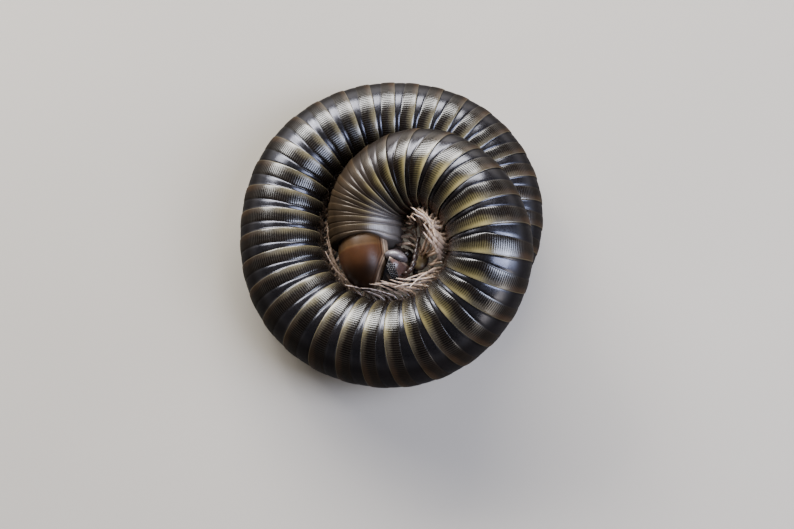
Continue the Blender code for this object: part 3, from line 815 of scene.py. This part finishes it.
def face_skin(colours):
    """The head's skin: mauve-brown face, a pale seam below the cheeks, black behind the eyes."""
    look = Look("Face skin", 2.0, ior=1.45, coat_weight=0.15, coat_roughness=0.15)
    level, product = look.level, look.product
    face, vertex, _ = look.marks()
    height = look.total(vertex, look.uneven(0.04))
    behind = look.calculate("SUBTRACT", height, product(face, 0.9))
    seam = product(level(height, -0.20, -0.14), level(height, -0.05, -0.11), 0.6)
    tint = look.layered(
        look.blend(level(face, 0.0, 0.8), colours.head, scaled(colours.head, 1.6)),
        (level(behind, 0.02, 0.16), BEHIND_EYES),
        (seam, colours.margin),
        (level(height, -0.16, -0.24), BELOW_SEAM),
    )
    return look.wear(look.toned(tint, 0.75, 1.25), look.grained(0.24, 0.38), 0.3, 0.004)


def cheek_skin(colours):
    """The cheek plates' skin: glossy, darker and browner at the ends, and lilac-grey between, which is
    partly their own colour and partly a painted reflection.
    """
    look = Look("Cheek skin", 2.0, coat_weight=0.3, coat_roughness=0.12)
    pale = [(share, scaled(colours.cheek, shade)) for share, shade in CHEEK_SHADES]
    stops = ((0.0, CHEEK_TOP), (0.12, CHEEK_SIDE), *pale, (0.93, CHEEK_END))
    height = look.level(look.total(look.marks()[0], look.uneven(0.1)), -1.0, 1.0)
    return look.wear(look.ramp(height, stops), look.grained(0.20, 0.32), 0.2, 0.003)


def leg_skin(colours):
    """Pale, pinkish legs, dark at their roots and browner at their joints and claws."""
    look = Look("Leg skin", 2.0, coat_weight=0.9, coat_roughness=0.22)
    stops = [(share, scaled(colours.leg, shade)) for share, shade in LEG_SHADES]
    tint = look.ramp(look.marks()[0], [*stops, (1.0, CLAW)])
    return look.wear(look.toned(tint, 0.8, 1.15), look.grained(0.22, 0.38), 0.3, 0.003)


def plate_skin(name, middle, edge, edge_range, skin_scale=1.0):
    """A glossy skin that takes another colour towards its edge, by the first mark."""
    look = Look(name, skin_scale, coat_weight=0.15, coat_roughness=0.15)
    outer = look.level(look.total(look.marks()[0], look.uneven(0.025)), *edge_range)
    tint = look.blend(outer, look.toned(middle, 0.818, 1.226), edge)
    return look.wear(tint, look.grained(0.3, 0.45), 0.2, 0.004)


def bent_rod(bm, points):
    """Lays a straight rod of unit length along points, and marks each vertex with its share of it."""
    lengths = lengths_along(points)
    ways = np.gradient(points, lengths, axis=0)
    lengths /= lengths[-1]
    marks = []
    for vert in bm.verts:
        share, across, up = vert.co
        point = Vector([np.interp(share, lengths, column) for column in points.T])
        way = Vector([np.interp(share, lengths, column) for column in ways.T]).normalized()
        sideways = way.cross(Vector((0.0, 0.0, 1.0))).normalized()
        vert.co = point + across * sideways + up * sideways.cross(way)
        marks.append((share, 0.0, 0.0))
    face_outwards(bm)
    return marks


def leg_rod(thick, points):
    """A leg with this radius at its root, laid along points, and its share marks."""
    bm = turned([(share, thick * wide) for share, wide in LEG_ROWS], LEG_SIDES)
    return bm, bent_rod(bm, points)


def varied(chance, amount):
    """A random factor near one."""
    return 1.0 + amount * chance.uniform(-1.0, 1.0)


def leg(ring, share, side, shape, chance):
    """One leg along its path on the belly, with its share marks."""
    at = ring_front(ring) + share * (ring_front(ring + 1) - ring_front(ring))
    radius = float(body_radius(at)[0])
    spread_here, size_here, stand_here = (np.interp(ring, *zip(*table)) for table in LEG_TABLES[side])
    spread = varied(chance, SPREAD_VARIES) * spread_here
    lift = varied(chance, LIFT_VARIES)
    size = radius / FULL_RADIUS * varied(chance, SIZE_VARIES)
    stand = stand_here * varied(chance, STAND_VARIES)
    thick = 0.5 * shape.leg_thickness / MM * size
    stretch = 1.0 - float(coil.read(coil.bends, at)) * radius
    reach = shape.leg_length / MM * size * size_here - 0.5 * min(stand, 1.0)
    reach /= max(stretch, LEG_LEAST_STRETCH)
    if side > 0 and BRUSH_RINGS[0] <= ring <= BRUSH_RINGS[1]:
        thick *= BRUSH_THICKNESS
        reach *= -BRUSH_LEAN
        spread *= BRUSH_SPREAD
    shares = np.linspace(0.0, 1.0, PATH_STEPS)
    _, angle, height = through(LEG_PATH, shares).T
    turn = np.radians(180.0 - side * angle * spread)
    along = at + reach * shares**REACH_POWER
    offset = height * np.where(height > 0.0, lift, 1.0) + stand * shares**STAND_POWER
    return leg_rod(thick, coil.on_body(along, *section(along, turn, offset)))


def front_leg(forward, side, shape, chance):
    """One leg of the first rings, folded forward below the head."""
    path = through(FRONT_LEG_PATH, np.linspace(0.0, 1.0, PATH_STEPS))[:, 1:]
    points = path * (1.0, varied(chance, FRONT_LEG_VARIES), side) + (forward, 0.0, 0.0)
    places = np.array([neck_frame() @ Vector(point) for point in points])
    return leg_rod(FRONT_LEG_RADIUS * shape.leg_thickness / MM, places)


def neck_frame():
    """Matrix from (forward, back, left) at the front end of the rings to the coil's frame."""
    at = ring_front(FIRST_RING)
    axes = [Vector(coil.read(part, at)) for part in (-coil.ways, coil.backs, coil.lefts)]
    turn = Matrix([axis.normalized() for axis in axes]).transposed()
    return Matrix.Translation(Vector(coil.read(coil.places, at))) @ turn.to_4x4()


def head_frame():
    """Matrix from (face, vertex, left) at the head's middle to the coil's frame."""
    bent = Matrix.Rotation(-math.radians(HEAD_FLEXION), 4, "Z")
    return neck_frame() @ Matrix.Translation((*HEAD_MIDDLE, 0.0)) @ bent


def finish_on_head(name, bm, middle, material, marks):
    """Makes a piece with its middle at a place on the head."""
    put(bm, head_frame() @ Matrix.Translation(Vector(middle)))
    finish(name, bm, material, marks=marks)


def margin_planes(gap):
    """The collum's front margin as two planes, moved forward by a gap."""
    slant = math.radians(COLLUM_MARGIN_SLANT)
    ways = Vector((0.0, -1.0, 0.0)), Vector((math.cos(slant), -math.sin(slant), 0.0))
    return [(Vector((*COLLUM_CORNER, 0.0)) + gap * outwards, outwards) for outwards in ways]


def head_surface(face, vertex):
    """Left offset of the head capsule's skin at a place on its side."""
    half_face, half_vertex, half_left = HEAD_HALF_SIZES
    return half_left * math.sqrt(max(0.0, 1.0 - (face / half_face) ** 2 - (vertex / half_vertex) ** 2))


class MILLIPEDE_OT_rings(bpy.types.Operator):
    """Models the rings of the body as shells of up to four rings each"""

    bl_idname = "millipede.rings"
    bl_label = "Rings"

    def execute(self, context):
        settings = context.scene.millipede
        material = ring_skin(settings.colours, settings.shape)
        sides = len(STRIA_SHAPE) * settings.shape.stria_count
        sleeves = {}
        for first in range(FIRST_RING, LAST_RING + 1, RINGS_IN_A_LENGTH):
            last = min(first + RINGS_IN_A_LENGTH - 1, LAST_RING)
            count = len(profile_rows(first, last))
            if count not in sleeves:
                sleeves[count] = sleeve(count, sides)
            mesh, marks = shell(first, last, sleeves[count], settings.shape)
            node = f"rings_{first:02d}_{last:02d}"
            finish(f"shell_{first:02d}_{last:02d}", mesh, material, (node,), marks)
        bpy.data.batch_remove(sleeves.values())
        return {"FINISHED"}


class MILLIPEDE_OT_legs(bpy.types.Operator):
    """Models the legs, folded along the belly: two pairs on most rings, one on the first few"""

    bl_idname = "millipede.legs"
    bl_label = "Legs"

    def execute(self, context):
        settings = context.scene.millipede
        material = leg_skin(settings.colours)
        chance = random.Random(LEG_SEED)
        for first in range(FIRST_RING, LAST_LEG_RING + 1, RINGS_IN_A_LENGTH):
            made = []
            for ring in range(first, min(first + RINGS_IN_A_LENGTH, LAST_LEG_RING + 1)):
                for share in DOUBLE_PAIRS if ring >= FIRST_DOUBLE_RING else SINGLE_PAIR:
                    made += [leg(ring, share, side, settings.shape, chance) for _, side in SIDES]
            if first == FIRST_RING:
                for forward in FRONT_LEG_PAIRS:
                    made += [front_leg(forward, side, settings.shape, chance) for _, side in SIDES]
            bm, marks = bmesh.new(), []
            for rod, shares in made:
                add_to(bm, rod)
                marks += shares
            finish(f"legs_{first:02d}", bm, material, marks=marks)
        return {"FINISHED"}


class MILLIPEDE_OT_collum(bpy.types.Operator):
    """Models the collum, the domed plate behind the head"""

    bl_idname = "millipede.collum"
    bl_label = "Collum"

    def execute(self, context):
        bm = ball(COLLUM_HALF_SIZES, 96, 72)
        bmesh.ops.translate(bm, vec=(COLLUM_MIDDLE_FORWARD, 0.0, 0.0), verts=bm.verts)
        planes = margin_planes(0.0)
        for point, outwards in ((Vector(), Vector((-1.0, 0.0, 0.0))), *planes):
            cut_away(bm, point, outwards)
        marks = []
        for vert in bm.verts:
            from_margin = min((point - vert.co).dot(outwards) for point, outwards in planes)
            # The third mark is for painted light: high on the upper flank, which faces up, and dimmed
            # towards the front
            high = 0.5 + 0.5 * vert.co.z / COLLUM_HALF_SIZES[2]
            dim = float(smoothstep((COLLUM_DIM_FROM - vert.co.x) / COLLUM_DIM_LENGTH))
            marks.append((from_margin, vert.co.x, dim * high))
        put(bm, neck_frame())
        material = collum_skin(context.scene.millipede.colours)
        finish("collum_plate", bm, material, ("collum",), marks)
        return {"FINISHED"}


class MILLIPEDE_OT_head(bpy.types.Operator):
    """Models the head capsule with its cheek plates, lip and mouth plate"""

    bl_idname = "millipede.head"
    bl_label = "Head"

    def execute(self, context):
        colours = context.scene.millipede.colours
        to_coil = head_frame()
        from_head = to_coil.inverted()
        skin = face_skin(colours)
        bm = ball(HEAD_HALF_SIZES, 72, 48)
        put(bm, neck_frame().inverted() @ to_coil)
        point, outwards = margin_planes(HEAD_GAP)[1]
        cut_away(bm, point, -outwards)
        put(bm, neck_frame())
        marks = [tuple(from_head @ vert.co) for vert in bm.verts]
        finish("head_capsule", bm, skin, ("head",), marks)
        pale = cheek_skin(colours)
        for name, side in SIDES:
            cheek = ball((1.0, 1.0, 1.0), 48, 32)
            marks = []
            for vert in cheek.verts:
                narrow = max(0.0, 1.0 - vert.co.x**2) ** CHEEK_POINTEDNESS
                leaf = (vert.co.x, vert.co.y * narrow, vert.co.z)
                marks.append((leaf[1], leaf[0], 0.0))
                vert.co = [part * size for part, size in zip(leaf, CHEEK_SIZE)]
            face, vertex, left = CHEEK_MIDDLE
            finish_on_head(f"cheek_{name}", cheek, (face, vertex, side * left), pale, marks)
        lip = ball(LIP_SIZE, 32, 24)
        marks = [tuple(vert.co + Vector(LIP_MIDDLE)) for vert in lip.verts]
        finish_on_head("lip", lip, LIP_MIDDLE, skin, marks)
        plate = ball(MOUTH_PLATE_SIZE, 32, 24)
        long, wide, _ = MOUTH_PLATE_SIZE
        marks = [(math.hypot(vert.co.x / long, vert.co.y / wide), 0.0, 0.0) for vert in plate.verts]
        yellow = plate_skin("Mouth plate skin", MOUTH_PLATE, MOUTH_PLATE_EDGE, (0.55, 0.95))
        finish_on_head("mouth_plate", plate, MOUTH_PLATE_MIDDLE, yellow, marks)
        return {"FINISHED"}


class MILLIPEDE_OT_eyes(bpy.types.Operator):
    """Models the two eye patches, each a field of beads"""

    bl_idname = "millipede.eyes"
    bl_label = "Eyes"

    def execute(self, context):
        look = Look("Eye bead", 3.0, roughness=0.16, coat_weight=0.5, coat_roughness=0.06)
        look.feed("Base Color", look.ramp(look.tone, EYE_STOPS))
        to_coil = head_frame()
        slant = math.radians(EYE_SLANT)
        long_way = Vector((math.sin(slant), math.cos(slant)))
        wide_way = Vector((math.cos(slant), -math.sin(slant)))
        for name, side in SIDES:
            bm = bmesh.new()
            for row in range(OCELLI_ROWS):
                wide = (row - 0.5 * (OCELLI_ROWS - 1)) * OCELLI_ROW_STEP
                count = int(EYE_LENGTH / OCELLUS_STEP) - abs(row - 1)
                for bead in range(count):
                    far = (bead - 0.5 * (count - 1)) * OCELLUS_STEP
                    face, vertex = Vector(EYE_MIDDLE) + far * long_way + wide * wide_way
                    place = Vector((face, vertex, side * head_surface(face, vertex)))
                    lay = to_coil @ Matrix.Translation(place)
                    bmesh.ops.create_icosphere(bm, subdivisions=2, radius=OCELLUS_RADIUS, matrix=lay)
            face_outwards(bm)
            finish(f"ocelli_{name}", bm, look.material, (f"eye_{name}",))
        return {"FINISHED"}


class MILLIPEDE_OT_antennae(bpy.types.Operator):
    """Models the two antennae of seven articles"""

    bl_idname = "millipede.antennae"
    bl_label = "Antennae"

    def execute(self, context):
        joint = scaled(context.scene.millipede.colours.leg, 0.5)
        material = plate_skin("Antenna skin", ANTENNA, joint, (0.9, 1.0), 2.0)
        path = np.array(ANTENNA_PATH)
        stations = np.column_stack([lengths_along(path), path])
        total = stations[-1, 0]
        span = total / ARTICLES
        rows = list(ANTENNA_SOCKET)
        for article in range(ARTICLES):
            swell = math.sin(math.pi * min((article + 1.0) / ARTICLES, CLUB_UNTIL))
            full = ROOT_RADIUS + (CLUB_RADIUS - ROOT_RADIUS) * swell
            for share, size in ARTICLE_ROWS:
                radius = NOTCH_RADIUS + (full - NOTCH_RADIUS) * size
                rows.append(((article + share) * span, radius))
        rows.append((total, TIP_RADIUS))
        for name, side in SIDES:
            to_coil = head_frame()
            bm = turned(rows, ANTENNA_SIDES)
            marks = []
            for vert in bm.verts:
                along, across, up = vert.co
                point = Vector(through(stations, along)[0, 1:])
                ahead = min(along, total) + ANTENNA_AHEAD
                way = (Vector(through(stations, ahead)[0, 1:]) - point).normalized()
                sideways = way.cross(Vector((1.0, 0.0, 0.0))).normalized()
                marks.append((abs(along / span % 1.0 - 0.5) * 2.0, 0.0, 0.0))
                point = point + across * sideways + up * sideways.cross(way)
                vert.co = to_coil @ Vector((point.x, point.y, side * point.z))
            face_outwards(bm)
            finish(f"feeler_{name}", bm, material, (f"antenna_{name}",), marks)
        return {"FINISHED"}


class MILLIPEDE_OT_telson(bpy.types.Operator):
    """Models the telson with its valves and its point"""

    bl_idname = "millipede.telson"
    bl_label = "Telson"

    def execute(self, context):
        bm = turned(TELSON_PROFILE, 96)
        share, left, back = np.array([vert.co for vert in bm.verts]).T
        turn = np.abs(np.arctan2(left, back))
        edge = smoothstep((share - POINT_FROM) / POINT_BLEND)
        blunt = np.hypot(turn, POINT_ROUNDING) - POINT_ROUNDING
        drawn = np.maximum(0.0, 1.0 - blunt / POINT_SPREAD) ** 2
        drawn[np.hypot(left, back) < POINT_CORE] = 0.0
        banded = (share > TELSON_BAND_FROM) & (share < TELSON_BAND_TO) & (drawn < LEAST_DRAWN)
        band = np.where(banded, TELSON_BAND, TUBE_MARK * (1.0 + share))
        marks = [(*pair, TELSON_MARK) for pair in zip(band, turn / math.pi)]
        for vert, reach in zip(bm.verts, POINT_LENGTH * edge * drawn):
            vert.co.x += reach
        for _, side in SIDES:
            valve = ball(VALVE_SIZE, 48, 36)
            for vert in valve.verts:
                inner = side * vert.co.y < 0.0
                slit = max(0.0, 1.0 - abs(vert.co.y) / (VALVE_SLIT * VALVE_SIZE[1])) if inner else 0.0
                marks.append((VALVE_MARK + SLIT_MARK * slit, 0.5 + 0.3 * vert.co.z, TELSON_MARK))
            share, left, back = VALVE_MIDDLE
            bmesh.ops.translate(valve, vec=(share, side * left, back), verts=valve.verts)
            add_to(bm, valve)
        start = ring_front(TELSON_RING)
        radius = body_radius(start)
        shares, lefts, backs = np.array([vert.co for vert in bm.verts]).T
        places = coil.on_body(start + shares * TELSON_LENGTH, backs * radius, lefts * radius)
        for vert, place in zip(bm.verts, places):
            vert.co = place
        face_outwards(bm)
        finish("tail_end", bm, bpy.data.materials["Ring skin"], ("telson",), marks)
        return {"FINISHED"}


class MILLIPEDE_OT_stage(bpy.types.Operator):
    """Sets up the floor, the soft lights and the camera"""

    bl_idname = "millipede.stage"
    bl_label = "Stage"

    def execute(self, context):
        scene = context.scene
        pale = tuple(scene.millipede.colours.floor)
        look = Look("Floor", 0.05, roughness=0.7)
        look.feed("Base Color", look.ramp(look.tone, ((0.3, scaled(pale, 0.94)), (0.7, pale))))
        bm = bmesh.new()
        bmesh.ops.create_grid(bm, x_segments=1, y_segments=1, size=FLOOR_HALF_SIZE)
        mesh = to_mesh("floor", bm)
        mesh.materials.append(look.material)
        add_object("floor", mesh)
        world = bpy.data.worlds.new("Soft room")
        world.use_nodes = True
        background = world.node_tree.nodes["Background"]
        background.inputs["Color"].default_value = ROOM_COLOUR
        background.inputs["Strength"].default_value = ROOM_STRENGTH
        scene.world = world
        for name, place, size, power, tint in LIGHTS:
            light = bpy.data.lights.new(name, "AREA")
            light.shape = "RECTANGLE"
            light.size, light.size_y = size
            light.energy = power
            light.color = tint
            aim(add_object(name, light), place, -Vector(place))
        camera = bpy.data.cameras.new("camera")
        camera.sensor_width = SENSOR
        camera.lens = SENSOR * CAMERA_DISTANCE / (IMAGE_WIDTH * MM_A_PIXEL)
        camera.clip_start, camera.clip_end = CLIP_START, CLIP_END
        rise = math.radians(CAMERA_ELEVATION)
        away = Vector((0.0, -math.cos(rise), math.sin(rise)))
        scene.camera = add_object("camera", camera)
        aim(scene.camera, (Vector(CAMERA_AIM) + CAMERA_DISTANCE * away) * MM, -away)
        return {"FINISHED"}


STEPS = (
    MILLIPEDE_OT_rings,
    MILLIPEDE_OT_legs,
    MILLIPEDE_OT_collum,
    MILLIPEDE_OT_head,
    MILLIPEDE_OT_eyes,
    MILLIPEDE_OT_antennae,
    MILLIPEDE_OT_telson,
    MILLIPEDE_OT_stage,
)


class MILLIPEDE_PT_build(bpy.types.Panel):
    """Lists the settings and the steps of the model"""

    bl_idname = "MILLIPEDE_PT_build"
    bl_label = "Millipede"
    bl_space_type = "VIEW_3D"
    bl_region_type = "UI"
    bl_category = "Millipede"

    def draw(self, context):
        settings = context.scene.millipede
        for group in (settings.shape, settings.colours):
            box = self.layout.box()
            for key in group.bl_rna.properties.keys():
                if key not in {"rna_type", "name"}:
                    box.prop(group, key)
        for step in STEPS:
            self.layout.operator(step.bl_idname)


CLASSES = (MillipedeShape, MillipedeColours, MillipedeSettings, *STEPS, MILLIPEDE_PT_build)


def register():
    """Registers the settings, the steps and the panel."""
    for one in CLASSES:
        bpy.utils.register_class(one)
    bpy.types.Scene.millipede = PointerProperty(type=MillipedeSettings)


def unregister():
    """Removes what register added."""
    del bpy.types.Scene.millipede
    for one in reversed(CLASSES):
        bpy.utils.unregister_class(one)


def main():
    """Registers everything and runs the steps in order."""
    register()
    for step in STEPS:
        getattr(bpy.ops.millipede, step.bl_idname.split(".")[1])()


if __name__ == "__main__":
    main()
